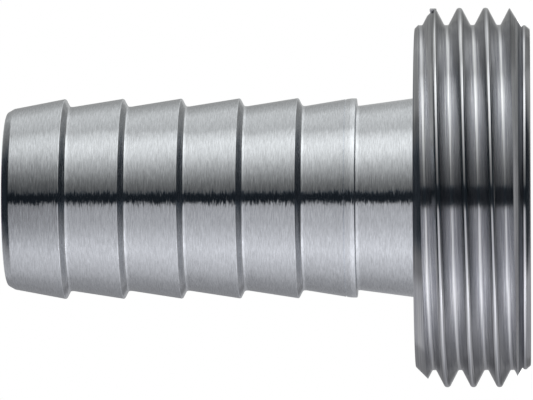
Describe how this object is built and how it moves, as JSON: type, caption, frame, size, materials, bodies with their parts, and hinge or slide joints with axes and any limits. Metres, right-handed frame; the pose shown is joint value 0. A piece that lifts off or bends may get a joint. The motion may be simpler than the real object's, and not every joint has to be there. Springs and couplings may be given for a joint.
{
  "type": "hose barb tail",
  "caption": "Turned steel hose tail: a barbed tube that a hose is pushed over, with a short collar that carries a male pipe thread.",
  "frame": {"origin": "centre of the flat sealing face at the threaded end, which the piece stands on", "axes": "+Z along the axis of the waterway, from the sealing face towards the nose of the tail; +X is where a crest of the thread crosses 1.27 mm above the face"},
  "size_m": [0.0264, 0.0264, 0.0365],
  "materials": {
    "steel": "turned stainless steel, bright, with fine tool lines around the axis"
  },
  "bodies": {
    "root": {"hose_tail": "steel"}
  },
  "joints": []
}
